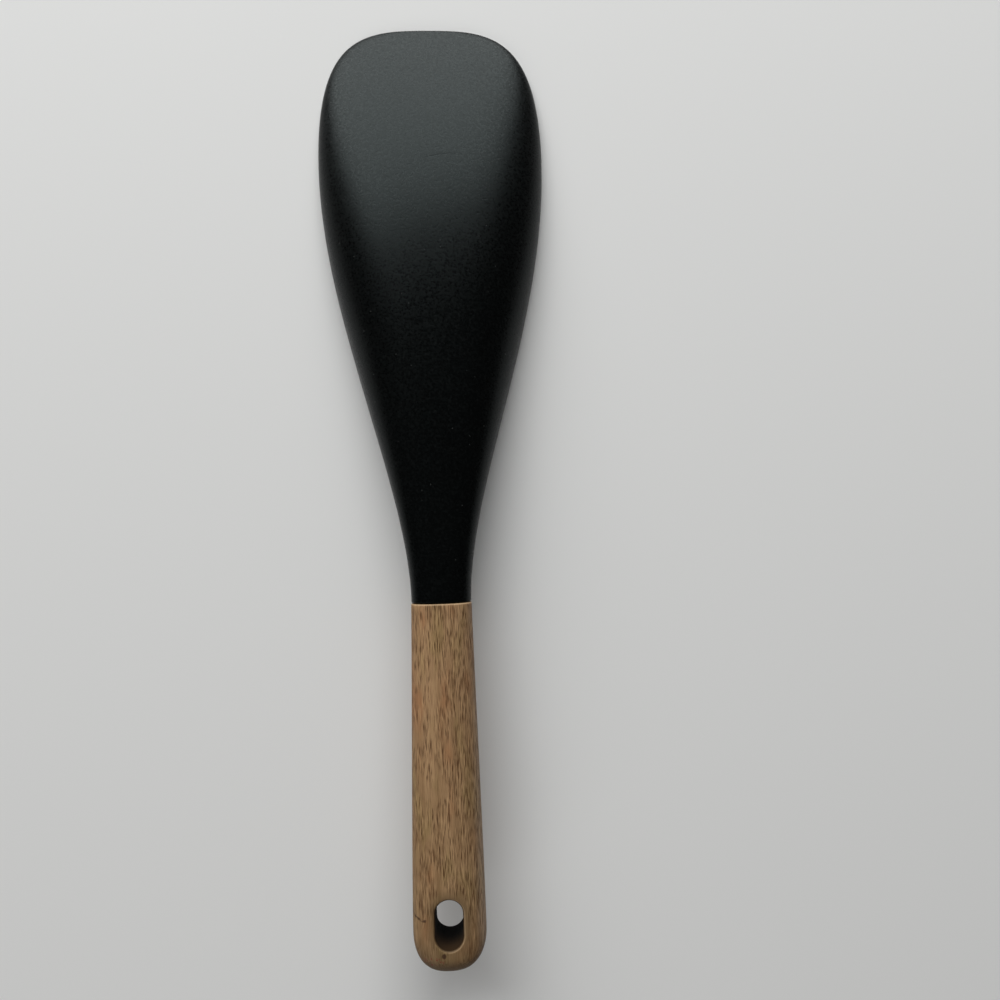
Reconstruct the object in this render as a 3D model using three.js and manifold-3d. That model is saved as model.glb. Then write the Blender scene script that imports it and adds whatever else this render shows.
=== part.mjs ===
// Spoon spatula: a silicone spoon head moulded over a stiff nylon core, whose grooved tang is glued into
// a wooden handle with a hanging slot. It lies face down on the rim of its bowl, with the handle in the air.
// Units are millimetres: +X across, +Y from the handle to the tip and +Z up.
// The origin is on the table, under the middle of the tool.

import * as THREE from 'three';
import { mergeVertices } from 'three/addons/utils/BufferGeometryUtils.js';
import Module from 'manifold-3d';

const wasm = await Module();
wasm.setup();

const { lerp, smoothstep, degToRad } = THREE.MathUtils;

// Clearance between neighbouring pieces
const FIT_GAP = 0.3;

// Head in plan, measured along the tool from the seam with the handle
const HEAD_LENGTH = 201;
const HEAD_WIDTH = 78.8;
const WIDEST_TO_TIP = 48;
const TIP_FLAT = 42;
const NECK_WIDTH = 20;
const NECK_RUN = 39.2;
const SHOULDER_RUN = 56.8;

// Head in side view: the back is the upper line, the edge is the line of the widest points, and the keel is
// the underside of the neck. The edge and the keel run out into the flat plane of the bowl's rim.
const NECK_THICKNESS = 13.4;
const RIM_TILT = 2.5;
const TIP_DROP = 6.7;
const BACK_RUN = 95;
const BACK_RISE = 2.5;
const TIP_RUN = 85;
const TIP_SLOPE = 15;
const EDGE_LENGTH = 95;
const EDGE_RUN = 40;
const EDGE_END_RUN = 25;
const KEEL_LENGTH = 50;
const KEEL_RUN = 18;
const KEEL_END_RUN = 18;

// Head in section: an oval neck opens into a hollow bowl with a rounded lip
const BOWL_START = 52;
const BOWL_FULL = 112;
const BOWL_WALL = 5.2;
const WALL_TAPER = 40;
const LIP = 2;
const NECK_FULLNESS = 2.3;
const BOWL_FULLNESS = 2.15;

// Nylon core: how far the silicone covers it on each side, clearance included
const CORE_FACE_COVER = 1.5;
const CORE_NECK_COVER = 2.4;
const CORE_SIDE_COVER = 9;
const CORE_TIP_COVER = 30;
const CORE_WIDEST_TO_TIP = 30;
const CORE_TIP_FLAT = 20;

// Holes through the core that the silicone flows through, counted back from the core's tip
const ANCHOR_RADIUS = 3;
const ANCHOR_TO_TIP = 25;
const ANCHOR_PITCH = 25;
const ANCHOR_ROWS = 3;
const ANCHOR_SPREAD = 13;

// Tang of the core, with ring grooves that key it into the adhesive
const TANG_RADIUS = 3.5;
const TANG_LENGTH = 42;
const TANG_ROOT = 8;
const TANG_CHAMFER = 1;
const GROOVE_DEPTH = 0.8;
const GROOVE_WIDTH = 2.4;
const GROOVE_PITCH = 7;
const GLUE_WALL = 0.8;
const DRILL_POINT = 2;

// Wooden handle, measured back from the seam
const HANDLE_LENGTH = 119;
const HANDLE_FRONT_WIDTH = 20.2;
const HANDLE_END_WIDTH = 24;
const HANDLE_FRONT_THICKNESS = 14;
const HANDLE_END_THICKNESS = 16.4;
const HANDLE_FLARE_RUN = 10;
const HANDLE_SWELL_RUN = 20;
const HANDLE_END_ROUND = 12.6;
const HANDLE_END_DOME = 6.5;
const HANDLE_END_FULLNESS = 0.64;
const HANDLE_FULLNESS = 2.5;
const HANDLE_FRONT_EASE = 0.4;
const SLOT_WIDTH = 9;
const SLOT_LENGTH = 15.6;
const SLOT_TO_END = 9.1;
const SLOT_EASE = 0.5;

// Facet counts
const SIDE_STEPS = 16;
const TIP_STEPS = 12;
const UPPER_STEPS = 20;
const LIP_STEPS = 4;
const INNER_STEPS = 8;
const CORE_STEPS = 12;
const ROUND_STEPS = 24;
const ANCHOR_STEPS = 16;
const HANDLE_STEPS = 9;
const HANDLE_END_STEPS = 9;
const HANDLE_RING_STEPS = 36;
const SLOT_ROUND_STEPS = 10;

// Tolerances of the construction itself
const MERGE_DISTANCE = 1e-4;
const CUT_OVERRUN = 2;
const BISECTION_STEPS = 40;

// Geometry helpers

// Merges shared vertices, drops collapsed triangles and turns the faces outwards.
function closed(geometry) {
  geometry.deleteAttribute('normal');
  geometry.deleteAttribute('uv');
  const merged = mergeVertices(geometry, MERGE_DISTANCE);
  const corners = merged.index.array;
  const position = merged.attributes.position;
  const [a, b, c] = [new THREE.Vector3(), new THREE.Vector3(), new THREE.Vector3()];
  const kept = [];
  let volume = 0;
  for (let i = 0; i < corners.length; i += 3) {
    const [p, q, r] = [corners[i], corners[i + 1], corners[i + 2]];
    if (p === q || q === r || r === p) continue;
    kept.push(p, q, r);
    a.fromBufferAttribute(position, p);
    b.fromBufferAttribute(position, q);
    c.fromBufferAttribute(position, r);
    volume += a.dot(b.cross(c));
  }
  if (volume < 0) kept.reverse();
  merged.setIndex(kept);
  return merged;
}

// Skins a row of rings that have the same number of points, and closes both ends.
function loft(rings) {
  const count = rings[0].length;
  const points = rings.flat();
  const index = [];
  for (let i = 0; i + 1 < rings.length; i += 1) {
    for (let k = 0; k < count; k += 1) {
      const here = i * count + k;
      const next = i * count + (k + 1) % count;
      index.push(here, next, here + count, next, next + count, here + count);
    }
  }
  for (const [first, order] of [[0, -1], [(rings.length - 1) * count, 1]]) {
    const hub = points.length;
    const ring = points.slice(first, first + count);
    points.push(ring.reduce((sum, point) => sum.add(point), new THREE.Vector3()).divideScalar(count));
    for (let k = 0; k < count; k += 1) {
      const [here, next] = [first + k, first + (k + 1) % count];
      index.push(hub, ...(order > 0 ? [here, next] : [next, here]));
    }
  }
  const geometry = new THREE.BufferGeometry().setFromPoints(points);
  geometry.setIndex(index);
  return closed(geometry);
}

// Revolves (radius, place along the tool) points about the tool's axis.
function turned(profile) {
  const points = profile.map(([radius, along]) => new THREE.Vector2(radius, along));
  return closed(new THREE.LatheGeometry(points, ROUND_STEPS));
}

function solidOf(geometry) {
  const vertProperties = new Float32Array(geometry.attributes.position.array);
  const triVerts = new Uint32Array(geometry.index.array);
  return new wasm.Manifold(new wasm.Mesh({ numProp: 3, vertProperties, triVerts }));
}

function geometryOf(solid) {
  const { vertProperties, triVerts } = solid.getMesh();
  const geometry = new THREE.BufferGeometry();
  geometry.setAttribute('position', new THREE.BufferAttribute(vertProperties, 3));
  geometry.setIndex(new THREE.BufferAttribute(triVerts, 1));
  geometry.computeVertexNormals();
  return geometry;
}

function bezier(...points) {
  return new THREE.CubicBezierCurve(...points.map(([x, y]) => new THREE.Vector2(x, y)));
}

// Reads a curve that runs steadily along the tool: its height or half-width at one place.
function readAt(curve, along) {
  let [low, high] = [0, 1];
  for (let i = 0; i < BISECTION_STEPS; i += 1) {
    const middle = (low + high) / 2;
    if (curve.getPoint(middle).x < along) {
      low = middle;
    } else {
      high = middle;
    }
  }
  return curve.getPoint((low + high) / 2).y;
}

// How much of a section's full height is left at x: 1 in the middle, 0 at the side.
function crown(x, halfWidth, fullness) {
  const share = Math.min(Math.abs(x) / Math.max(halfWidth, MERGE_DISTANCE), 1);
  return (1 - share ** fullness) ** (1 / fullness);
}

// The x of a point on a rounded section, by its angle from the side.
function sectionX(angle, halfWidth, fullness) {
  const share = Math.cos(angle);
  return halfWidth * Math.sign(share) * Math.abs(share) ** (2 / fullness);
}

// A quarter round that rises from 0 at its start to 1 at its full reach.
function quarterRound(distance, reach) {
  const left = 1 - Math.min(distance / reach, 1);
  return Math.sqrt(1 - left * left);
}

// Head

const tipHeight = LIP - TIP_DROP;
const backLine = bezier(
  [0, NECK_THICKNESS / 2],
  [BACK_RUN, NECK_THICKNESS / 2 + BACK_RISE],
  [HEAD_LENGTH - TIP_RUN, tipHeight + TIP_RUN * Math.tan(degToRad(TIP_SLOPE))],
  [HEAD_LENGTH, tipHeight],
);

// The plane of the rim, which the tool rests on, at one place along the head
function rimHeight(along) {
  return -TIP_DROP - (HEAD_LENGTH - along) * Math.tan(degToRad(RIM_TILT));
}

// A height that starts level at the seam and runs out into the plane of the rim, a set distance above it
function ontoRim({ start, run, length, endRun, above }) {
  const curve = bezier(
    [0, start],
    [run, start],
    [length - endRun, rimHeight(length - endRun) + above],
    [length, rimHeight(length) + above],
  );
  return (along) => (along < length ? readAt(curve, along) : rimHeight(along) + above);
}

const edgeHeight = ontoRim({
  start: 0,
  run: EDGE_RUN,
  length: EDGE_LENGTH,
  endRun: EDGE_END_RUN,
  above: LIP / 2,
});
const keelHeight = ontoRim({
  start: -NECK_THICKNESS / 2,
  run: KEEL_RUN,
  length: KEEL_LENGTH,
  endRun: KEEL_END_RUN,
  above: 0,
});

// Half of a plan outline as two curves: the side from the neck to the widest place, and on to the tip.
function planCurves({ neckWidth, width, length, widestToTip, tipFlat }) {
  const widestAt = length - widestToTip;
  const side = bezier(
    [0, neckWidth / 2],
    [NECK_RUN, neckWidth / 2],
    [widestAt - SHOULDER_RUN, width / 2],
    [widestAt, width / 2],
  );
  const tip = bezier([widestAt, width / 2], [length, width / 2], [length, tipFlat / 2], [length, 0]);
  return { widestAt, side, tip };
}

function planStations(curves) {
  return [...curves.side.getPoints(SIDE_STEPS), ...curves.tip.getPoints(TIP_STEPS).slice(1)];
}

const headPlan = planCurves({
  neckWidth: NECK_WIDTH,
  width: HEAD_WIDTH,
  length: HEAD_LENGTH,
  widestToTip: WIDEST_TO_TIP,
  tipFlat: TIP_FLAT,
});

// The sizes that shape the head's section at one place along it
function headShape(along) {
  const bowl = smoothstep(along, BOWL_START, BOWL_FULL);
  const thinning = smoothstep(along, HEAD_LENGTH - WALL_TAPER, HEAD_LENGTH);
  return {
    bowl,
    edge: edgeHeight(along),
    back: readAt(backLine, along),
    keel: keelHeight(along),
    wall: lerp(BOWL_WALL, LIP, thinning),
    fullness: lerp(NECK_FULLNESS, BOWL_FULLNESS, bowl),
    halfWidth: readAt(along < headPlan.widestAt ? headPlan.side : headPlan.tip, along),
  };
}

function upperHeight(shape, x) {
  return shape.edge + (shape.back - shape.edge) * crown(x, shape.halfWidth, shape.fullness);
}

// Underside of the bowl: round under the lip, then up into the hollow
function bowlHeight(shape, x) {
  const lip = Math.min(LIP, shape.halfWidth);
  const bottom = shape.edge - LIP / 2;
  const hollow = Math.max(shape.back - shape.wall - bottom, 0);
  const innerRound = Math.min(LIP / 2, hollow);
  const fromSide = shape.halfWidth - Math.abs(x);
  if (fromSide < lip / 2) return shape.edge - (LIP / 2) * quarterRound(fromSide, lip / 2);
  if (fromSide < lip) return bottom + innerRound - innerRound * quarterRound(lip - fromSide, lip / 2);
  return bottom + innerRound + (hollow - innerRound) * crown(x, shape.halfWidth - lip, shape.fullness);
}

function lowerHeight(shape, x) {
  const neck = shape.edge + (shape.keel - shape.edge) * crown(x, shape.halfWidth, shape.fullness);
  return lerp(neck, bowlHeight(shape, x), shape.bowl);
}

// One closed section of the head, from its right side over the back and home under the lip
function headRing({ x: along, y: halfWidth }) {
  const shape = { ...headShape(along), halfWidth };
  const lip = Math.min(LIP, halfWidth);
  const nose = quarterRound(HEAD_LENGTH - along, LIP / 2);
  const under = [];
  for (let k = 1; k <= LIP_STEPS; k += 1) {
    under.push(halfWidth - (lip / 2) * (1 - Math.cos((Math.PI * k) / LIP_STEPS)));
  }
  for (let k = 1; k <= INNER_STEPS; k += 1) {
    under.push(sectionX((Math.PI / 2) * (k / INNER_STEPS), halfWidth - lip, shape.fullness));
  }
  const ring = [];
  const add = (x, height) => {
    ring.push(new THREE.Vector3(x, along, shape.edge + (height - shape.edge) * nose));
  };
  for (let k = 0; k <= UPPER_STEPS; k += 1) {
    const x = sectionX((Math.PI * k) / UPPER_STEPS, halfWidth, shape.fullness);
    add(x, upperHeight(shape, x));
  }
  for (const x of under) add(-x, lowerHeight(shape, x));
  for (const x of under.slice(0, -1).reverse()) add(x, lowerHeight(shape, x));
  return ring;
}

// The core's body follows the head's own faces at an even depth; grow turns it into the space around it.
function coreBody(grow) {
  const curves = planCurves({
    neckWidth: NECK_WIDTH - 2 * CORE_NECK_COVER + 2 * grow,
    width: HEAD_WIDTH - 2 * CORE_SIDE_COVER + 2 * grow,
    length: HEAD_LENGTH - CORE_TIP_COVER + grow,
    widestToTip: CORE_WIDEST_TO_TIP,
    tipFlat: CORE_TIP_FLAT,
  });
  const cover = CORE_FACE_COVER - grow;
  const ringAt = ({ x: along, y: halfWidth }, place) => {
    const shape = headShape(along);
    const across = [];
    for (let k = 0; k <= CORE_STEPS; k += 1) {
      across.push(halfWidth * Math.cos((Math.PI * k) / CORE_STEPS));
    }
    const upper = across.map((x) => new THREE.Vector3(x, place, upperHeight(shape, x) - cover));
    const lower = across.map((x) => new THREE.Vector3(x, place, lowerHeight(shape, x) + cover));
    return [...upper, ...lower.reverse()];
  };
  const stations = planStations(curves);
  const rings = stations.map((station) => ringAt(station, station.x));
  if (grow > 0) rings.unshift(ringAt(stations[0], -CUT_OVERRUN));
  return solidOf(loft(rings));
}

// Upright round bars at the core's anchor holes
function anchorBars(radius) {
  const height = 2 * (TIP_DROP + NECK_THICKNESS);
  const lastRow = HEAD_LENGTH - CORE_TIP_COVER - ANCHOR_TO_TIP;
  const bars = [];
  for (let row = 0; row < ANCHOR_ROWS; row += 1) {
    const columns = row + 1 < ANCHOR_ROWS ? [-ANCHOR_SPREAD, 0, ANCHOR_SPREAD] : [0];
    for (const x of columns) {
      const bar = new THREE.CylinderGeometry(radius, radius, height, ANCHOR_STEPS);
      bar.rotateX(Math.PI / 2);
      bar.translate(x, lastRow - row * ANCHOR_PITCH, -TIP_DROP / 2);
      bars.push(solidOf(closed(bar)));
    }
  }
  return bars.reduce((sum, bar) => sum.add(bar));
}

function siliconeHead() {
  const outside = solidOf(loft(planStations(headPlan).map(headRing)));
  const hollow = coreBody(FIT_GAP).subtract(anchorBars(ANCHOR_RADIUS - FIT_GAP));
  return geometryOf(outside.subtract(hollow));
}

// Tang joint

// Places of the tang's grooves, back from the seam, with a plain land of one pitch at each end
function grooveStarts() {
  const starts = [];
  for (let at = GROOVE_PITCH; at + GROOVE_PITCH < TANG_LENGTH; at += GROOVE_PITCH) {
    starts.push(at);
  }
  return starts;
}

// The tang's side as (radius, place) points, with every face moved out by one clearance
function tangSide(clearance) {
  const [land, floor] = [TANG_RADIUS + clearance, TANG_RADIUS - GROOVE_DEPTH + clearance];
  const points = [];
  for (const start of grooveStarts()) {
    const [from, to] = [-start - clearance, -start - GROOVE_WIDTH + clearance];
    points.push([land, from], [floor, from], [floor, to], [land, to]);
  }
  return points;
}

function nylonCore() {
  const tang = turned([
    [0, TANG_ROOT],
    [TANG_RADIUS, TANG_ROOT],
    ...tangSide(0),
    [TANG_RADIUS, -TANG_LENGTH + TANG_CHAMFER],
    [TANG_RADIUS - TANG_CHAMFER, -TANG_LENGTH],
    [0, -TANG_LENGTH],
  ]);
  return geometryOf(coreBody(0).add(solidOf(tang)).subtract(anchorBars(ANCHOR_RADIUS)));
}

// Cured adhesive: a thimble between the tang and the drilled socket, ribbed where it fills the grooves
function tangAdhesive() {
  const inside = TANG_RADIUS + FIT_GAP;
  const mouth = -2 * FIT_GAP;
  const innerEnd = -TANG_LENGTH - FIT_GAP;
  return turned([
    [0, innerEnd],
    [inside, innerEnd],
    ...tangSide(FIT_GAP).reverse(),
    [inside, mouth],
    [inside + GLUE_WALL, mouth],
    [inside + GLUE_WALL, innerEnd - GLUE_WALL],
    [0, innerEnd - GLUE_WALL - DRILL_POINT],
  ]);
}

function drilledSocket() {
  const radius = TANG_RADIUS + GLUE_WALL + 2 * FIT_GAP;
  const end = -TANG_LENGTH - GLUE_WALL - 2 * FIT_GAP;
  return turned([[0, CUT_OVERRUN], [radius, CUT_OVERRUN], [radius, end], [0, end - DRILL_POINT]]);
}

// Handle

const handleSide = bezier(
  [FIT_GAP, HANDLE_FRONT_WIDTH / 2],
  [FIT_GAP + HANDLE_FLARE_RUN, HANDLE_FRONT_WIDTH / 2],
  [HANDLE_LENGTH - HANDLE_END_ROUND - HANDLE_SWELL_RUN, HANDLE_END_WIDTH / 2],
  [HANDLE_LENGTH - HANDLE_END_ROUND, HANDLE_END_WIDTH / 2],
);
const handleEnd = bezier(
  [HANDLE_LENGTH - HANDLE_END_ROUND, HANDLE_END_WIDTH / 2],
  [HANDLE_LENGTH - HANDLE_END_ROUND * (1 - HANDLE_END_FULLNESS), HANDLE_END_WIDTH / 2],
  [HANDLE_LENGTH, (HANDLE_END_WIDTH / 2) * HANDLE_END_FULLNESS],
  [HANDLE_LENGTH, 0],
);

function handleHalfThickness(back) {
  const full = lerp(HANDLE_FRONT_THICKNESS, HANDLE_END_THICKNESS, back / HANDLE_LENGTH) / 2;
  return full * quarterRound(HANDLE_LENGTH - back, HANDLE_END_DOME);
}

// One section of the handle, turned half a step so that a flat runs along its top and its underside
function handleRing(back, halfWidth, inset) {
  const halfThickness = handleHalfThickness(back) - inset;
  const ring = [];
  for (let k = 0; k < HANDLE_RING_STEPS; k += 1) {
    const angle = ((k + 0.5) * 2 * Math.PI) / HANDLE_RING_STEPS;
    const x = sectionX(angle, halfWidth - inset, HANDLE_FULLNESS);
    const z = sectionX(angle - Math.PI / 2, halfThickness, HANDLE_FULLNESS);
    ring.push(new THREE.Vector3(x, -back, z));
  }
  return ring;
}

// An obround outline at one height, centred on the slot
function slotRing(centre, grow, height) {
  const radius = SLOT_WIDTH / 2 + grow;
  const half = (SLOT_LENGTH - SLOT_WIDTH) / 2;
  const ring = [];
  for (const [start, shift] of [[0, half], [Math.PI, -half]]) {
    for (let k = 0; k <= SLOT_ROUND_STEPS; k += 1) {
      const angle = start + (Math.PI * k) / SLOT_ROUND_STEPS;
      const x = radius * Math.cos(angle);
      const along = centre + shift + radius * Math.sin(angle);
      ring.push(new THREE.Vector3(x, along, height));
    }
  }
  return ring;
}

// The cutter for the hanging slot, flared at both faces to ease the rims
function slotCutter() {
  const back = HANDLE_LENGTH - SLOT_TO_END - SLOT_LENGTH / 2;
  const face = handleHalfThickness(back);
  const flare = SLOT_EASE + CUT_OVERRUN;
  return loft([
    slotRing(-back, flare, -face - CUT_OVERRUN),
    slotRing(-back, 0, -face + SLOT_EASE),
    slotRing(-back, 0, face - SLOT_EASE),
    slotRing(-back, flare, face + CUT_OVERRUN),
  ]);
}

function woodenHandle() {
  const sides = handleSide.getPoints(HANDLE_STEPS);
  const stations = [...sides.slice(1), ...handleEnd.getPoints(HANDLE_END_STEPS).slice(1)];
  const eased = FIT_GAP + HANDLE_FRONT_EASE;
  const rings = [
    handleRing(FIT_GAP, sides[0].y, HANDLE_FRONT_EASE),
    handleRing(eased, readAt(handleSide, eased), 0),
    ...stations.map((station) => handleRing(station.x, station.y, 0)),
  ];
  const blank = solidOf(loft(rings));
  return geometryOf(blank.subtract(solidOf(drilledSocket())).subtract(solidOf(slotCutter())));
}

// Assembly

function piece(name, geometry, color, roughness) {
  const mesh = new THREE.Mesh(geometry, new THREE.MeshStandardMaterial({ color, roughness, metalness: 0 }));
  mesh.name = name;
  return mesh;
}

const head = piece('silicone_head', siliconeHead(), 0x1d2020, 0.6);
const core = piece('nylon_core', nylonCore(), 0x2b2c2e, 0.5);
const adhesive = piece('tang_adhesive', tangAdhesive(), 0xc9b182, 0.35);
const handle = piece('wooden_handle', woodenHandle(), 0x8a6c4c, 0.7);

const tool = new THREE.Group();
tool.add(head, core, adhesive, handle);
tool.rotation.x = degToRad(-RIM_TILT);

const spatula = new THREE.Group();
spatula.add(tool);
spatula.updateMatrixWorld(true);
const box = new THREE.Box3().setFromObject(spatula, true);
const middle = box.getCenter(new THREE.Vector3());
tool.position.set(-middle.x, -middle.y, -box.min.z);

export default spatula;
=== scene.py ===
"""Looks of a spoon spatula that lies face down on a pale table, on the rim of its bowl.

The silicone head and the wooden handle are rebuilt here with fine meshes from the same sizes as the solids.
Sizes and marks are millimetres in the tool's own frame: +X across, +Y from the seam to the tip, +Z out of the
back. The camera and the stage are in metres in the row frame.
"""

import math
from types import SimpleNamespace

import bmesh
import bpy
import numpy as np
from mathutils import Matrix, Vector


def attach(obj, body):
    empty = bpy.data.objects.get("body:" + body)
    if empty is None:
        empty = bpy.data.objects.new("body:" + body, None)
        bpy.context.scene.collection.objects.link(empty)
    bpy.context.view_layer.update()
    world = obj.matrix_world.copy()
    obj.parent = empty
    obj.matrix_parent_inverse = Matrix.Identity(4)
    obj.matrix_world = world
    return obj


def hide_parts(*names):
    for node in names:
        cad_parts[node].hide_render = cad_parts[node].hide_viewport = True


MM = 0.001
FIT_GAP = 0.3

# Head in plan, measured along the tool from the seam
HEAD_LENGTH = 201
HEAD_WIDTH = 78.8
WIDEST_TO_TIP = 48
TIP_FLAT = 42
NECK_WIDTH = 20
NECK_RUN = 39.2
SHOULDER_RUN = 56.8

# Head in side view
NECK_THICKNESS = 13.4
RIM_TILT = math.radians(2.5)
TIP_DROP = 6.7
BACK_RUN = 95
BACK_RISE = 2.5
TIP_RUN = 85
TIP_SLOPE = math.radians(15)
EDGE_LENGTH = 95
EDGE_RUN = 40
EDGE_END_RUN = 25
KEEL_LENGTH = 50
KEEL_RUN = 18
KEEL_END_RUN = 18

# Head in section
BOWL_START = 52
BOWL_FULL = 112
BOWL_WALL = 5.2
WALL_TAPER = 40
LIP = 2
NECK_FULLNESS = 2.3
BOWL_FULLNESS = 2.15
NECK_EASE = 0.35

# Space for the core inside the head
CORE_FACE_COVER = 1.5
CORE_NECK_COVER = 2.4
CORE_SIDE_COVER = 9
CORE_TIP_COVER = 30
CORE_WIDEST_TO_TIP = 30
CORE_TIP_FLAT = 20

# Handle, measured back from the seam
HANDLE_LENGTH = 119
HANDLE_FRONT_WIDTH = 20.2
HANDLE_END_WIDTH = 24
HANDLE_FRONT_THICKNESS = 14
HANDLE_END_THICKNESS = 16.4
HANDLE_FLARE_RUN = 10
HANDLE_SWELL_RUN = 20
HANDLE_END_ROUND = 12.6
HANDLE_END_DOME = 6.5
HANDLE_END_FULLNESS = 0.64
HANDLE_FULLNESS = 2.5
HANDLE_FRONT_EASE = 0.4
SLOT_WIDTH = 9
SLOT_LENGTH = 15.6
SLOT_TO_END = 9.1
SLOT_EASE = 0.8
SOCKET_RADIUS = 4.9
SOCKET_DEPTH = 43.4
DRILL_POINT = 2
GLUE_MOUTH = 2 * FIT_GAP

# Mesh fineness
CURVE_SAMPLES = 4001
SIDE_STEPS = 110
TIP_STEPS = 60
UPPER_STEPS = 96
LIP_STEPS = 10
INNER_STEPS = 38
EASE_STEPS = 4
HANDLE_RING_STEPS = 96
HANDLE_STEPS = 70
GRID_START = 80
GRID_SIDE_STEPS = 24
GRID_END_STEPS = 36
GRID_ACROSS_STEPS = 26
WALL_STEPS = 5
WELD = 1e-4
SHARP_ANGLE = math.radians(50)

# Camera, fitted to the photograph: its place is in metres, its lens and sensor are in millimetres
CAMERA_PLACE = Vector((0.00956, -0.0082, 0.26781))
CAMERA_PITCH = math.radians(0.185)
CAMERA_YAW = math.radians(-2.5)
CAMERA_ROLL = math.radians(-1.612)
CAMERA_LENS = 27.036
SENSOR = 36

# Floor, in metres
FLOOR_REACH = 1.2
FLOOR_DROP = 0.0001

# Small marks, in millimetres across and along the tool's own frame
LINT = SimpleNamespace(ends=((-2.3, 148.9), (9.2, 150.7)), bow=0.4, half_width=0.16)
CRACK = SimpleNamespace(ends=((-12.4, -98.8), (-7.1, -100.8)), bow=-0.7, half_width=0.7)
KNOT = SimpleNamespace(x=-1.8, y=-111.4, half_width=0.9, half_length=1.0)
SPECKS = SimpleNamespace(x=-5.2, y=-113.2, half_width=4.2, half_length=1.8)


# Curves and sections


def bezier(points, t):
    """Points of a cubic curve at the places t."""
    a, b, c, d = np.asarray(points, float)
    t = np.asarray(t, float)[..., None]
    return (1 - t) ** 3 * a + 3 * (1 - t) ** 2 * t * b + 3 * (1 - t) * t**2 * c + t**3 * d


def read_at(points, along):
    """Height or half-width of a curve that runs steadily along the tool."""
    places, values = bezier(points, np.linspace(0, 1, CURVE_SAMPLES)).T
    return np.interp(along, places, values)


def smoothstep(value, low, high):
    share = np.clip((value - low) / (high - low), 0, 1)
    return share * share * (3 - 2 * share)


def lerp(a, b, share):
    return a + (b - a) * share


def crown(x, half_width, fullness):
    """How much of a section's full height is left at x."""
    share = np.minimum(np.abs(x) / np.maximum(half_width, WELD), 1)
    return (1 - share**fullness) ** (1 / fullness)


def section_x(angle, half_width, fullness):
    """The x of a point on a rounded section, by its angle from the side."""
    share = np.cos(angle)
    return half_width * np.sign(share) * np.abs(share) ** (2 / fullness)


def quarter_round(distance, reach):
    """Rises from 0 at its start to 1 at its full reach."""
    left = 1 - np.minimum(distance / reach, 1)
    return np.sqrt(1 - left * left)


# Head

TIP_HEIGHT = LIP - TIP_DROP
BACK_LINE = [
    (0, NECK_THICKNESS / 2),
    (BACK_RUN, NECK_THICKNESS / 2 + BACK_RISE),
    (HEAD_LENGTH - TIP_RUN, TIP_HEIGHT + TIP_RUN * math.tan(TIP_SLOPE)),
    (HEAD_LENGTH, TIP_HEIGHT),
]


def rim_height(along):
    """The plane of the rim, which the tool rests on, at one place along the head."""
    return -TIP_DROP - (HEAD_LENGTH - along) * math.tan(RIM_TILT)


def onto_rim(along, start, run, length, end_run, above):
    """A height that is level at the seam and runs out to a set distance above the plane of the rim."""
    line = [
        (0, start),
        (run, start),
        (length - end_run, rim_height(length - end_run) + above),
        (length, rim_height(length) + above),
    ]
    return read_at(line, along) if along < length else rim_height(along) + above


def edge_height(along):
    return onto_rim(along, 0, EDGE_RUN, EDGE_LENGTH, EDGE_END_RUN, LIP / 2)


def keel_height(along):
    return onto_rim(along, -NECK_THICKNESS / 2, KEEL_RUN, KEEL_LENGTH, KEEL_END_RUN, 0)


def plan_stations(neck_width, width, length, widest_to_tip, tip_flat):
    """(place along, half-width) rows of a plan outline, from the neck to the tip."""
    widest = length - widest_to_tip
    side = [
        (0, neck_width / 2),
        (NECK_RUN, neck_width / 2),
        (widest - SHOULDER_RUN, width / 2),
        (widest, width / 2),
    ]
    tip = [(widest, width / 2), (length, width / 2), (length, tip_flat / 2), (length, 0)]
    side_points = bezier(side, np.linspace(0, 1, SIDE_STEPS + 1))
    tip_points = bezier(tip, np.linspace(0, 1, TIP_STEPS + 1))
    return np.vstack([side_points, tip_points[1:]])


HEAD_STATIONS = plan_stations(NECK_WIDTH, HEAD_WIDTH, HEAD_LENGTH, WIDEST_TO_TIP, TIP_FLAT)


def head_shape(along):
    """The sizes that shape the head's section at one place along it."""
    bowl = smoothstep(along, BOWL_START, BOWL_FULL)
    thinning = smoothstep(along, HEAD_LENGTH - WALL_TAPER, HEAD_LENGTH)
    return SimpleNamespace(
        bowl=bowl,
        edge=edge_height(along),
        back=read_at(BACK_LINE, along),
        keel=keel_height(along),
        wall=lerp(BOWL_WALL, LIP, thinning),
        fullness=lerp(NECK_FULLNESS, BOWL_FULLNESS, bowl),
        half_width=np.interp(along, *HEAD_STATIONS.T),
    )


def upper_height(shape, x):
    return shape.edge + (shape.back - shape.edge) * crown(x, shape.half_width, shape.fullness)


def bowl_height(shape, x):
    """Underside of the bowl: round under the lip, then up into the hollow."""
    lip = min(LIP, shape.half_width)
    bottom = shape.edge - LIP / 2
    hollow = max(shape.back - shape.wall - bottom, 0)
    inner_round = min(LIP / 2, hollow)
    from_side = shape.half_width - np.abs(x)
    outer = shape.edge - (LIP / 2) * quarter_round(np.maximum(from_side, 0), max(lip / 2, WELD))
    turn = quarter_round(np.clip(lip - from_side, 0, lip / 2), max(lip / 2, WELD))
    inner = bottom + inner_round - inner_round * turn
    rise = crown(x, shape.half_width - lip, shape.fullness)
    inside = bottom + inner_round + (hollow - inner_round) * rise
    return np.where(from_side < lip / 2, outer, np.where(from_side < lip, inner, inside))


def lower_height(shape, x):
    neck = shape.edge + (shape.keel - shape.edge) * crown(x, shape.half_width, shape.fullness)
    return lerp(neck, bowl_height(shape, x), shape.bowl)


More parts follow.
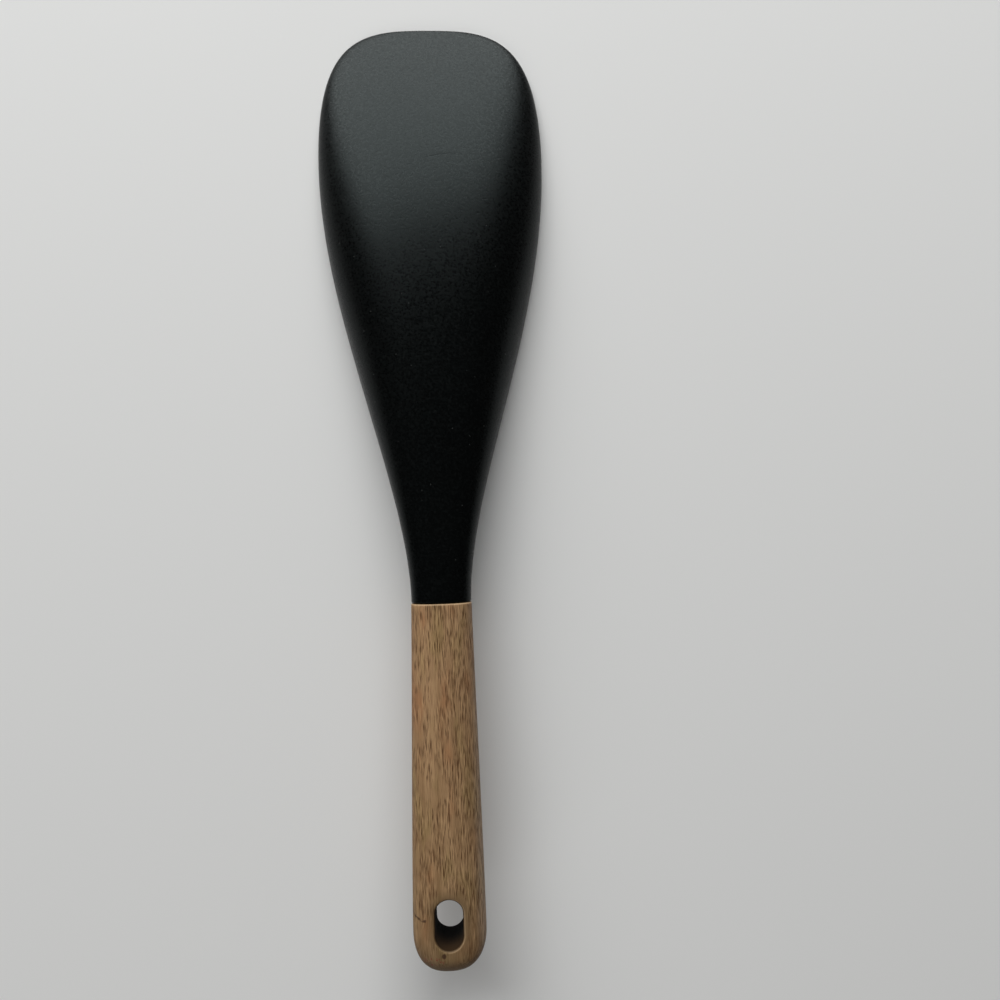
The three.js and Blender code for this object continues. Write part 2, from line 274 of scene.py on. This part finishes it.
def head_ring(along, half_width):
    """One closed section of the head, from its right side over the back and home under the lip."""
    shape = head_shape(along)
    shape.half_width = half_width
    lip = min(LIP, half_width)
    nose = quarter_round(HEAD_LENGTH - along, LIP / 2)
    upper = section_x(np.linspace(0, math.pi, UPPER_STEPS + 1), half_width, shape.fullness)
    round_lip = half_width - lip / 2 * (1 - np.cos(np.linspace(0, math.pi, LIP_STEPS + 1)[1:]))
    inner = section_x(np.linspace(0, math.pi / 2, INNER_STEPS + 1)[1:], half_width - lip, shape.fullness)
    under = np.concatenate([round_lip, inner])
    home = under[-2::-1]
    x = np.concatenate([upper, -under, home])
    heights = [upper_height(shape, upper), lower_height(shape, under), lower_height(shape, home)]
    z = shape.edge + (np.concatenate(heights) - shape.edge) * nose
    return np.column_stack([x, np.full_like(x, along), z])


def core_space_ring(along, half_width, count):
    """One section of the space for the core, with as many points as a section of the head."""
    shape = head_shape(along)
    cover = CORE_FACE_COVER - FIT_GAP
    upper = half_width * np.cos(np.linspace(0, math.pi, UPPER_STEPS + 1))
    lower = -half_width * np.cos(np.linspace(0, math.pi, count - UPPER_STEPS - 1))
    x = np.concatenate([upper, lower])
    z = np.concatenate([upper_height(shape, upper) - cover, lower_height(shape, lower) + cover])
    return np.column_stack([x, np.full_like(x, along), z])


def eased(ring_at, reach, half_width, half_height):
    """Rings that round the edge of an end face, from the face outwards."""
    rings = []
    for angle in np.linspace(0, math.pi / 2, EASE_STEPS + 1):
        inset = reach * (1 - math.sin(angle))
        ring = ring_at(reach * (1 - math.cos(angle)))
        rings.append(ring * (1 - inset / half_width, 1, 1 - inset / half_height))
    return rings


def head_rings():
    outer = [head_ring(*station) for station in HEAD_STATIONS if station[0] > NECK_EASE]
    space = plan_stations(
        NECK_WIDTH - 2 * (CORE_NECK_COVER - FIT_GAP),
        HEAD_WIDTH - 2 * (CORE_SIDE_COVER - FIT_GAP),
        HEAD_LENGTH - CORE_TIP_COVER + FIT_GAP,
        CORE_WIDEST_TO_TIP,
        CORE_TIP_FLAT,
    )
    inside = [core_space_ring(*station, len(outer[0])) for station in space[::-1]]
    edge = eased(
        lambda along: head_ring(along, NECK_WIDTH / 2),
        NECK_EASE,
        NECK_WIDTH / 2,
        NECK_THICKNESS / 2,
    )
    return [*inside, *edge, *outer]


# Handle

END_START = HANDLE_LENGTH - HANDLE_END_ROUND
HANDLE_SIDE = [
    (FIT_GAP, HANDLE_FRONT_WIDTH / 2),
    (FIT_GAP + HANDLE_FLARE_RUN, HANDLE_FRONT_WIDTH / 2),
    (END_START - HANDLE_SWELL_RUN, HANDLE_END_WIDTH / 2),
    (END_START, HANDLE_END_WIDTH / 2),
]
HANDLE_END = [
    (END_START, HANDLE_END_WIDTH / 2),
    (END_START + HANDLE_END_ROUND * HANDLE_END_FULLNESS, HANDLE_END_WIDTH / 2),
    (HANDLE_LENGTH, HANDLE_END_WIDTH / 2 * HANDLE_END_FULLNESS),
    (HANDLE_LENGTH, 0),
]
SLOT_RADIUS = SLOT_WIDTH / 2
SLOT_HALF_STRAIGHT = (SLOT_LENGTH - SLOT_WIDTH) / 2
SLOT_MIDDLE = HANDLE_LENGTH - SLOT_TO_END - SLOT_LENGTH / 2


def handle_half_width(back):
    return np.where(back < END_START, read_at(HANDLE_SIDE, back), read_at(HANDLE_END, back))


def handle_half_thickness(back):
    full = lerp(HANDLE_FRONT_THICKNESS, HANDLE_END_THICKNESS, back / HANDLE_LENGTH) / 2
    return full * quarter_round(HANDLE_LENGTH - back, HANDLE_END_DOME)


def handle_ring(back):
    angle = np.arange(HANDLE_RING_STEPS) * 2 * math.pi / HANDLE_RING_STEPS
    x = section_x(angle, handle_half_width(back), HANDLE_FULLNESS)
    z = section_x(angle - math.pi / 2, handle_half_thickness(back), HANDLE_FULLNESS)
    return np.column_stack([x, np.full_like(x, -back), z])


def socket_ring(radius, back):
    angle = np.arange(HANDLE_RING_STEPS) * 2 * math.pi / HANDLE_RING_STEPS
    return np.column_stack([radius * np.cos(angle), np.full_like(angle, -back), radius * np.sin(angle)])


def handle_front_rings():
    """From the bottom of the drilled socket, out over the front face and back to the slot's grid."""
    socket = [
        socket_ring(0, SOCKET_DEPTH + DRILL_POINT),
        *[socket_ring(SOCKET_RADIUS, back) for back in np.linspace(SOCKET_DEPTH, FIT_GAP, EASE_STEPS + 1)],
    ]
    edge = eased(
        lambda along: handle_ring(FIT_GAP + along),
        HANDLE_FRONT_EASE,
        HANDLE_FRONT_WIDTH / 2,
        HANDLE_FRONT_THICKNESS / 2,
    )
    places = np.linspace(FIT_GAP + HANDLE_FRONT_EASE, GRID_START, HANDLE_STEPS + 1)
    return [*socket, *edge, *[handle_ring(back) for back in places[1:]]]


def slot_outline(grow, count):
    """Half of the slot's outline in plan, from its front middle round its right side to its rear middle."""
    radius = SLOT_RADIUS + grow
    arc = radius * math.pi / 2
    straight = 2 * SLOT_HALF_STRAIGHT
    along = np.linspace(0, 2 * arc + straight, count + 1)
    front = np.minimum(along / radius, math.pi / 2)
    rear = np.maximum((along - arc - straight) / radius, 0)
    x = radius * np.sin(front) * np.cos(rear)
    down = np.clip(along - arc, 0, straight) - SLOT_HALF_STRAIGHT
    back = SLOT_MIDDLE + down - radius * np.cos(front) + radius * np.sin(rear)
    return np.column_stack([x, back])


def both_sides(half):
    """A closed outline from its right half."""
    return np.vstack([half, half[-2:0:-1] * (-1, 1)])


def handle_rear_rings():
    """Rings round the slot at the rear of the handle: over the top, down the slot and out again below."""
    quarter = HANDLE_RING_STEPS // 4
    angles = np.linspace(math.pi / 2, 0, quarter + 1)
    split = section_x(angles, handle_half_width(GRID_START), HANDLE_FULLNESS)
    side = np.linspace(GRID_START, END_START, GRID_SIDE_STEPS + 1)[1:]
    end = bezier(HANDLE_END, np.linspace(0, 1, GRID_END_STEPS + 1))[1:]
    outline = np.vstack(
        [
            np.column_stack([split, np.full_like(split, GRID_START)]),
            np.column_stack([handle_half_width(side), side]),
            end[:, ::-1],
        ]
    )
    count = len(outline) - 1
    outer = both_sides(outline)
    rim = both_sides(slot_outline(SLOT_EASE, count))
    wall = both_sides(slot_outline(0, count))
    places = np.arange(count + 1)
    on_outline = both_sides(np.column_stack([places, places >= quarter]))[:, 1] > 0

    def height(plan):
        x, back = plan.T
        return handle_half_thickness(back) * crown(x, handle_half_width(back), HANDLE_FULLNESS)

    def ring(plan, z):
        return np.column_stack([plan[:, 0], -plan[:, 1], z])

    rings = [ring(outer, np.where(on_outline, 0, height(outer)))]
    for share in np.cos(np.linspace(0, math.pi / 2, GRID_ACROSS_STEPS + 1)[1:]):
        plan = lerp(rim, outer, share)
        rings.append(ring(plan, height(plan)))
    top = height(rim)
    for angle in np.linspace(0, math.pi / 2, EASE_STEPS + 1)[1:]:
        plan = lerp(rim, wall, math.sin(angle))
        rings.append(ring(plan, top - SLOT_EASE * (1 - math.cos(angle))))
    for share in np.linspace(1, 0, WALL_STEPS + 1)[1:]:
        rings.append(ring(wall, (top - SLOT_EASE) * share))
    return rings + [row * (1, 1, -1) for row in rings[-2::-1]]


def slot_distance(x, back):
    """Distance in plan from the slot's wall, below zero inside the slot."""
    along = np.maximum(np.abs(back - SLOT_MIDDLE) - SLOT_HALF_STRAIGHT, 0)
    return np.hypot(x, along) - SLOT_RADIUS


# Pieces


def tool_frame():
    """The tool's own frame in the row frame, from the adhesive, which is round about the tool's axis."""
    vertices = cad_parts["tang_adhesive"].data.vertices
    points = np.unique(np.round([vertex.co[:] for vertex in vertices], 7), axis=0)
    middle = points.mean(0)
    axis = np.linalg.svd(points - middle)[2][0]
    axis *= np.sign(axis[1])
    mouth = ((points - middle) @ axis).max()
    origin = middle + axis * (mouth + GLUE_MOUTH * MM)
    return Matrix.Translation(Vector(origin)) @ Matrix.Rotation(math.atan2(axis[2], axis[1]), 4, "X")


def skin(mesh, rings):
    """Adds faces between neighbouring rings."""
    rows = [[mesh.verts.new(point) for point in ring] for ring in rings]
    for here, there in zip(rows, rows[1:]):
        for k in range(len(here)):
            n = (k + 1) % len(here)
            mesh.faces.new((here[k], here[n], there[n], there[k]))


def make_piece(name, node, slot, material, *skins):
    """A closed, smooth piece from rows of rings, in place of a node of the frame."""
    mesh = bmesh.new()
    for rings in skins:
        skin(mesh, rings)
    bmesh.ops.remove_doubles(mesh, verts=mesh.verts, dist=WELD)
    bmesh.ops.dissolve_degenerate(mesh, edges=mesh.edges, dist=WELD)
    bmesh.ops.recalc_face_normals(mesh, faces=mesh.faces)
    for face in mesh.faces:
        face.smooth = True
    mesh.transform(tool @ Matrix.Scale(MM, 4))
    data = bpy.data.meshes.new(name)
    mesh.to_mesh(data)
    mesh.free()
    data.set_sharp_from_angle(angle=SHARP_ANGLE)
    data.materials.append(material)
    piece = bpy.data.objects.new(name, data)
    bpy.context.scene.collection.objects.link(piece)
    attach(piece, "root")
    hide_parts(node)
    return piece


def mark_slot(piece):
    """Stores which points are on the slot's wall, on its rim and near it, for the wood's colour."""
    to_tool = (tool @ Matrix.Scale(MM, 4)).inverted()
    points = np.array([to_tool @ vertex.co for vertex in piece.data.vertices])
    distance = slot_distance(points[:, 0], -points[:, 1])
    wall = 1 - smoothstep(distance, 0, SLOT_EASE * 0.6)
    off_wall = smoothstep(distance, SLOT_EASE * 0.3, SLOT_EASE * 0.7)
    rim = off_wall * (1 - smoothstep(distance, SLOT_EASE * 0.8, SLOT_EASE))
    near = 1 - smoothstep(distance, SLOT_EASE, SLOT_RADIUS)
    for name, values in (("slot_wall", wall), ("slot_rim", rim), ("slot_near", near)):
        piece.data.attributes.new(name, "FLOAT", "POINT").data.foreach_set("value", values.astype(np.float32))


# Materials


class Shader:
    """Short calls for building one material's nodes. Places are millimetres in the tool's own frame."""

    def __init__(self, name):
        self.material = bpy.data.materials.new(name)
        self.material.use_nodes = True
        self.tree = self.material.node_tree
        self.surface = self.tree.nodes["Principled BSDF"]

    def put(self, socket, value):
        if isinstance(value, bpy.types.NodeSocket):
            self.tree.links.new(value, socket)
        else:
            socket.default_value = value

    def set(self, **values):
        for name, value in values.items():
            self.put(self.surface.inputs[name.replace("_", " ")], value)

    def add(self, kind, values, **settings):
        node = self.tree.nodes.new(kind)
        for name, value in settings.items():
            setattr(node, name, value)
        for name, value in values.items():
            self.put(node.inputs[name], value)
        return node

    def place(self):
        turn = (tool @ Matrix.Scale(MM, 4)).inverted()
        values = {
            "Vector": self.add("ShaderNodeTexCoord", {}).outputs["Object"],
            "Location": turn.to_translation(),
            "Rotation": turn.to_euler(),
            "Scale": turn.to_scale(),
        }
        return self.add("ShaderNodeMapping", values).outputs[0]

    def parts(self, vector):
        return self.add("ShaderNodeSeparateXYZ", {"Vector": vector}).outputs

    def stretched(self, vector, grain):
        """Space in which one unit is the grain's own size along each axis."""
        scale = [1 / size for size in grain]
        return self.add("ShaderNodeVectorMath", {0: vector, 1: scale}, operation="MULTIPLY").outputs[0]

    def noise(self, vector, grain, detail=2.0, roughness=0.5):
        values = {
            "Vector": self.stretched(vector, grain),
            "Scale": 1.0,
            "Detail": detail,
            "Roughness": roughness,
        }
        return self.add("ShaderNodeTexNoise", values).outputs[0]

    def math(self, operation, a, b=0.0):
        return self.add("ShaderNodeMath", {0: a, 1: b}, operation=operation).outputs[0]

    def span(self, value, low, high, start=0.0, end=1.0):
        """A smooth step of a value from low to high."""
        values = {"Value": value, "From Min": low, "From Max": high, "To Min": start, "To Max": end}
        return self.add("ShaderNodeMapRange", values, interpolation_type="SMOOTHSTEP").outputs[0]

    def mix(self, share, a, b):
        node = self.add("ShaderNodeMix", {}, data_type="RGBA")
        for index, value in ((0, share), (6, a), (7, b)):
            self.put(node.inputs[index], value)
        return node.outputs[2]

    def spots(self, vector, grain, radius, kept):
        """Scattered spots of the grain's shape, of which only a share is kept."""
        cells = self.add("ShaderNodeTexVoronoi", {"Vector": self.stretched(vector, grain), "Scale": 1.0})
        spot = self.span(cells.outputs["Distance"], radius, radius * 0.4)
        pick = self.parts(cells.outputs["Color"])[0]
        return self.math("MULTIPLY", spot, self.math("LESS_THAN", pick, kept))

    def attribute(self, name):
        return self.add("ShaderNodeAttribute", {}, attribute_name=name).outputs["Fac"]

    def blot(self, x, y, mark):
        """A soft-edged oval seen from above."""
        across = self.math("DIVIDE", self.math("SUBTRACT", x, mark.x), mark.half_width)
        along = self.math("DIVIDE", self.math("SUBTRACT", y, mark.y), mark.half_length)
        reach = self.math("ADD", self.math("POWER", across, 2.0), self.math("POWER", along, 2.0))
        return self.span(reach, 1.0, 0.25)

    def hair(self, x, y, mark):
        """A thin, slightly bowed line seen from above, from one end to the other."""
        (x0, y0), (x1, y1) = mark.ends
        length = math.hypot(x1 - x0, y1 - y0)
        cosine, sine = (x1 - x0) / length, (y1 - y0) / length
        dx, dy = self.math("SUBTRACT", x, x0), self.math("SUBTRACT", y, y0)
        run = self.math("ADD", self.math("MULTIPLY", dx, cosine), self.math("MULTIPLY", dy, sine))
        side = self.math("SUBTRACT", self.math("MULTIPLY", dy, cosine), self.math("MULTIPLY", dx, sine))
        share = self.math("DIVIDE", run, length)
        arch = self.math("MULTIPLY", share, self.math("SUBTRACT", 1.0, share))
        off = self.math("ABSOLUTE", self.math("SUBTRACT", side, self.math("MULTIPLY", arch, 4 * mark.bow)))
        line = self.span(off, mark.half_width, mark.half_width * 0.3)
        return self.math("MULTIPLY", line, self.span(arch, 0.0, 0.06))

    def bump(self, height, depth):
        values = {"Height": height, "Distance": depth * MM, "Strength": 1.0}
        self.set(Normal=self.add("ShaderNodeBump", values).outputs[0])


def rgb(red, green, blue):
    return (red, green, blue, 1.0)


def silicone():
    """Matte charcoal-black silicone with a fine grain, a little dust and one stuck fibre of lint."""
    shader = Shader("silicone")
    place = shader.place()
    x, y = shader.parts(place)[:2]
    cloud = shader.noise(place, (14, 22, 14), detail=3)
    grain = shader.noise(place, (0.9, 0.9, 0.9), detail=4, roughness=0.75)
    dust = shader.spots(place, (2.6, 2.6, 2.6), 0.08, 0.25)
    lint = shader.hair(x, y, LINT)
    colour = shader.mix(cloud, rgb(0.0012, 0.0014, 0.0014), rgb(0.002, 0.0023, 0.0023))
    colour = shader.mix(shader.span(grain, 0.5, 0.75, 0, 0.6), colour, rgb(0.0065, 0.007, 0.007))
    colour = shader.mix(shader.math("MULTIPLY", dust, 0.5), colour, rgb(0.11, 0.11, 0.105))
    rough = shader.span(grain, 0.3, 0.7, 0.22, 0.4)
    shader.set(Base_Color=colour, Roughness=rough, IOR=1.41)
    shader.set(Specular_IOR_Level=0.17, Specular_Tint=rgb(0.84, 1.0, 1.0))
    relief = shader.math("ADD", grain, shader.math("ADD", dust, shader.math("MULTIPLY", lint, 0.5)))
    shader.bump(relief, 0.07)
    return shader.material


def wood():
    """Dry oiled hardwood: short dark pores along the grain, smooth pale patches, a slot whose wall is painted
    dark as shade, and a painted highlight on the slot's rim.
    """
    shader = Shader("wood")
    place = shader.place()
    sway = shader.noise(place, (16, 40, 16), detail=2)
    swayed = shader.add("ShaderNodeVectorMath", {0: sway, 1: (1.6, 0, 1.6)}, operation="MULTIPLY").outputs[0]
    fibre = shader.add("ShaderNodeVectorMath", {0: place, 1: swayed}, operation="ADD").outputs[0]
    x, y, z = shader.parts(place)

    bands = shader.noise(fibre, (2.6, 70, 2.6), detail=3)
    warmth = shader.noise(fibre, (6, 20, 6), detail=2)
    patches = shader.noise(fibre, (4, 11, 4), detail=2)
    fibres = shader.noise(fibre, (0.22, 5.5, 0.22), detail=2, roughness=0.6)
    right = shader.span(x, -2, 9)
    end = shader.span(y, -20, -112)

    colour = shader.mix(shader.span(bands, 0.3, 0.7), rgb(0.25, 0.142, 0.068), rgb(0.36, 0.218, 0.112))
    colour = shader.mix(shader.span(warmth, 0.5, 0.72, 0, 0.6), colour, rgb(0.31, 0.138, 0.06))
    colour = shader.mix(shader.span(warmth, 0.48, 0.3, 0, 0.6), colour, rgb(0.27, 0.18, 0.072))
    colour = shader.mix(shader.math("MULTIPLY", end, 0.28), colour, rgb(0.15, 0.1, 0.042))
    # Darker towards the right side: partly the wood's own tone, partly painted shade on the side turned away
    # from the light.
    colour = shader.mix(shader.math("MULTIPLY", right, 0.15), colour, rgb(0.15, 0.1, 0.055))
    # A pale grey band along the right edge: painted sheen of grazing light.
    colour = shader.mix(shader.span(x, 8, 11.5, 0, 0.35), colour, rgb(0.36, 0.31, 0.26))

    open_grain = shader.span(shader.math("ADD", patches, shader.math("MULTIPLY", right, 0.1)), 0.38, 0.52)
    open_grain = shader.math("MULTIPLY", open_grain, shader.span(y, -113, -86, 0.65, 1.0))
    light = shader.math("MULTIPLY", shader.span(fibres, 0.5, 0.3), shader.span(open_grain, 0, 1, 0.25, 0.75))
    colour = shader.mix(light, colour, rgb(0.46, 0.29, 0.15))
    dark = shader.math("MULTIPLY", shader.span(fibres, 0.5, 0.66), shader.span(open_grain, 0, 1, 0.35, 1.0))
    colour = shader.mix(dark, colour, rgb(0.085, 0.037, 0.014))
    pores = shader.spots(fibre, (0.4, 5, 0.4), 0.42, 0.6)
    pores = shader.math("MULTIPLY", pores, open_grain)
    colour = shader.mix(shader.math("MULTIPLY", pores, 0.9), colour, rgb(0.06, 0.024, 0.009))

    # Darker round the slot and over the end of the handle.
    darker_near_slot_and_end = shader.math("MAXIMUM", shader.attribute("slot_near"), shader.span(y, -102, -114))
    colour = shader.mix(shader.math("MULTIPLY", darker_near_slot_and_end, 0.5), colour, rgb(0.085, 0.055, 0.024))
    specks = shader.spots(place, (0.75, 0.75, 0.75), 0.55, 0.6)
    specks = shader.math("MULTIPLY", specks, shader.blot(x, y, SPECKS))
    colour = shader.mix(shader.math("MULTIPLY", specks, 0.9), colour, rgb(0.17, 0.03, 0.02))

    ragged = shader.span(shader.noise(place, (0.9, 0.9, 0.9), detail=3), 0.38, 0.62, 0.15, 1.0)
    crack = shader.math("MULTIPLY", shader.hair(x, y, CRACK), ragged)
    marks = shader.math("MAXIMUM", crack, shader.blot(x, y, KNOT))
    marks = shader.math("MULTIPLY", marks, shader.span(z, 0, 1))
    colour = shader.mix(shader.math("MULTIPLY", marks, 0.85), colour, rgb(0.035, 0.013, 0.006))
    # A paler strip along the handle's front edge, and a painted highlight on the right half of the slot's
    # rim.
    pale_front_edge_and_rim_highlight = shader.math("MULTIPLY", shader.attribute("slot_rim"), shader.span(x, -3, 3))
    pale_front_edge_and_rim_highlight = shader.math("MAXIMUM", shader.span(y, -0.9, -0.5), pale_front_edge_and_rim_highlight)
    colour = shader.mix(shader.math("MULTIPLY", pale_front_edge_and_rim_highlight, 0.4), colour, rgb(0.5, 0.36, 0.22))
    # The slot's wall is painted dark as shade: darkest deep down, a little lighter towards the top rim.
    painted_slot_shade = shader.mix(shader.span(z, -3, 7), rgb(0.001, 0.0005, 0.0002), rgb(0.022, 0.01, 0.002))
    wall = shader.attribute("slot_wall")
    colour = shader.mix(wall, colour, painted_slot_shade)

    rough = shader.math("MAXIMUM", shader.span(fibres, 0.3, 0.7, 0.52, 0.7), wall)
    shader.set(Base_Color=colour, Roughness=rough, IOR=1.45, Specular_IOR_Level=0.25)
    relief = shader.math("MAXIMUM", shader.math("MULTIPLY", shader.span(fibres, 0.4, 0.7), 0.6), pores)
    shader.bump(shader.math("MULTIPLY", shader.math("MAXIMUM", relief, marks), -1.0), 0.05)
    return shader.material


def nylon():
    """Dark moulded nylon, hidden inside the silicone."""
    shader = Shader("nylon")
    place = shader.place()
    cloud = shader.noise(place, (9, 16, 9), detail=3)
    grain = shader.noise(place, (0.4, 0.4, 0.4), detail=2)
    shader.set(
        Base_Color=shader.mix(cloud, rgb(0.02, 0.02, 0.022), rgb(0.032, 0.032, 0.035)),
        Roughness=shader.span(grain, 0.3, 0.7, 0.42, 0.55),
        IOR=1.53,
    )
    shader.bump(grain, 0.01)
    return shader.material


def adhesive():
    """Cured amber epoxy, hidden inside the handle."""
    shader = Shader("adhesive")
    place = shader.place()
    cloud = shader.noise(place, (2.5, 5, 2.5), detail=3)
    bubbles = shader.spots(place, (1.1, 1.1, 1.1), 0.12, 0.6)
    colour = shader.mix(cloud, rgb(0.5, 0.36, 0.17), rgb(0.66, 0.5, 0.27))
    shader.set(
        Base_Color=shader.mix(bubbles, colour, rgb(0.75, 0.66, 0.48)),
        Roughness=shader.span(cloud, 0.3, 0.7, 0.24, 0.36),
        IOR=1.5,
    )
    shader.bump(bubbles, 0.05)
    return shader.material


# Stage


def make_floor():
    mesh = bpy.data.meshes.new("floor")
    corners = [(x * FLOOR_REACH, y * FLOOR_REACH, 0) for x, y in ((-1, -1), (1, -1), (1, 1), (-1, 1))]
    mesh.from_pydata(corners, [], [(0, 1, 2, 3)])
    material = bpy.data.materials.new("floor")
    material.use_nodes = True
    surface = material.node_tree.nodes["Principled BSDF"]
    surface.inputs["Base Color"].default_value = rgb(0.77, 0.765, 0.76)
    surface.inputs["Roughness"].default_value = 0.7
    surface.inputs["Specular IOR Level"].default_value = 0.2
    mesh.materials.append(material)
    floor = bpy.data.objects.new("floor", mesh)
    floor.location.z = -FLOOR_DROP
    bpy.context.scene.collection.objects.link(floor)


def softbox(name, bearing, distance, rise, size, radiance, colour):
    """A soft lamp at a bearing from +Y towards +X and a rise above the floor, aimed at the tool."""
    bearing, rise = math.radians(bearing), math.radians(rise)
    away = Vector((math.sin(bearing) * math.cos(rise), math.cos(bearing) * math.cos(rise), math.sin(rise)))
    lamp = bpy.data.lights.new(name, "AREA")
    lamp.shape = "RECTANGLE"
    lamp.size, lamp.size_y = size
    lamp.energy = radiance * math.pi * size[0] * size[1]
    lamp.color = colour
    holder = bpy.data.objects.new(name, lamp)
    holder.location = away * distance
    holder.rotation_euler = away.to_track_quat("Z", "Y").to_euler()
    holder.visible_camera = False
    bpy.context.scene.collection.objects.link(holder)


def make_world():
    """Pale to the camera, and nearly dark to the object, which the lamps light."""
    world = bpy.data.worlds.new("studio")
    world.use_nodes = True
    tree = world.node_tree
    fill = tree.nodes["Background"]
    fill.inputs["Color"].default_value = rgb(1.0, 0.98, 0.95)
    fill.inputs["Strength"].default_value = 0.03
    seen = tree.nodes.new("ShaderNodeBackground")
    seen.inputs["Color"].default_value = rgb(0.62, 0.63, 0.625)
    mix = tree.nodes.new("ShaderNodeMixShader")
    path = tree.nodes.new("ShaderNodeLightPath")
    tree.links.new(path.outputs["Is Camera Ray"], mix.inputs[0])
    tree.links.new(fill.outputs[0], mix.inputs[1])
    tree.links.new(seen.outputs[0], mix.inputs[2])
    tree.links.new(mix.outputs[0], tree.nodes["World Output"].inputs["Surface"])
    bpy.context.scene.world = world


def make_camera():
    lens = bpy.data.cameras.new("camera")
    lens.sensor_width = SENSOR
    lens.lens = CAMERA_LENS
    lens.clip_start = 0.01
    camera = bpy.data.objects.new("camera", lens)
    tip = Matrix.Rotation(CAMERA_PITCH, 4, "X") @ Matrix.Rotation(CAMERA_YAW, 4, "Y")
    camera.matrix_world = Matrix.Translation(CAMERA_PLACE) @ tip @ Matrix.Rotation(CAMERA_ROLL, 4, "Z")
    bpy.context.scene.collection.objects.link(camera)
    bpy.context.scene.camera = camera


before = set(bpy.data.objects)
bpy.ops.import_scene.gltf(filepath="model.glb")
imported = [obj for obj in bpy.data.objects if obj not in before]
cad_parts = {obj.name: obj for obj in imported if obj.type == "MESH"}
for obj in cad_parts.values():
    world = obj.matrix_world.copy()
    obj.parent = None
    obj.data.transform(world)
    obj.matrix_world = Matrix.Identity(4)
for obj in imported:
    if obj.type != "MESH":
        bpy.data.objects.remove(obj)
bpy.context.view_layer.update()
tool = tool_frame()

make_piece("silicone_head_skin", "silicone_head", "silicone", silicone(), head_rings())
handle_skins = (handle_front_rings(), handle_rear_rings())
handle = make_piece("wooden_handle_body", "wooden_handle", "wood", wood(), *handle_skins)
mark_slot(handle)
for name, material in (("nylon_core", nylon()), ("tang_adhesive", adhesive())):
    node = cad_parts[name]
    node.data.materials.clear()
    node.data.materials.append(material)

make_floor()
make_world()
softbox("window", -9, 2.1, 29.5, (2.75, 1.55), 6.2, (0.985, 1.0, 0.995))
softbox("rear", -155, 1.9, 25, (1.6, 0.8), 1.6, (1.0, 0.98, 0.96))
make_camera()
bpy.context.scene.view_settings.view_transform = "Standard"
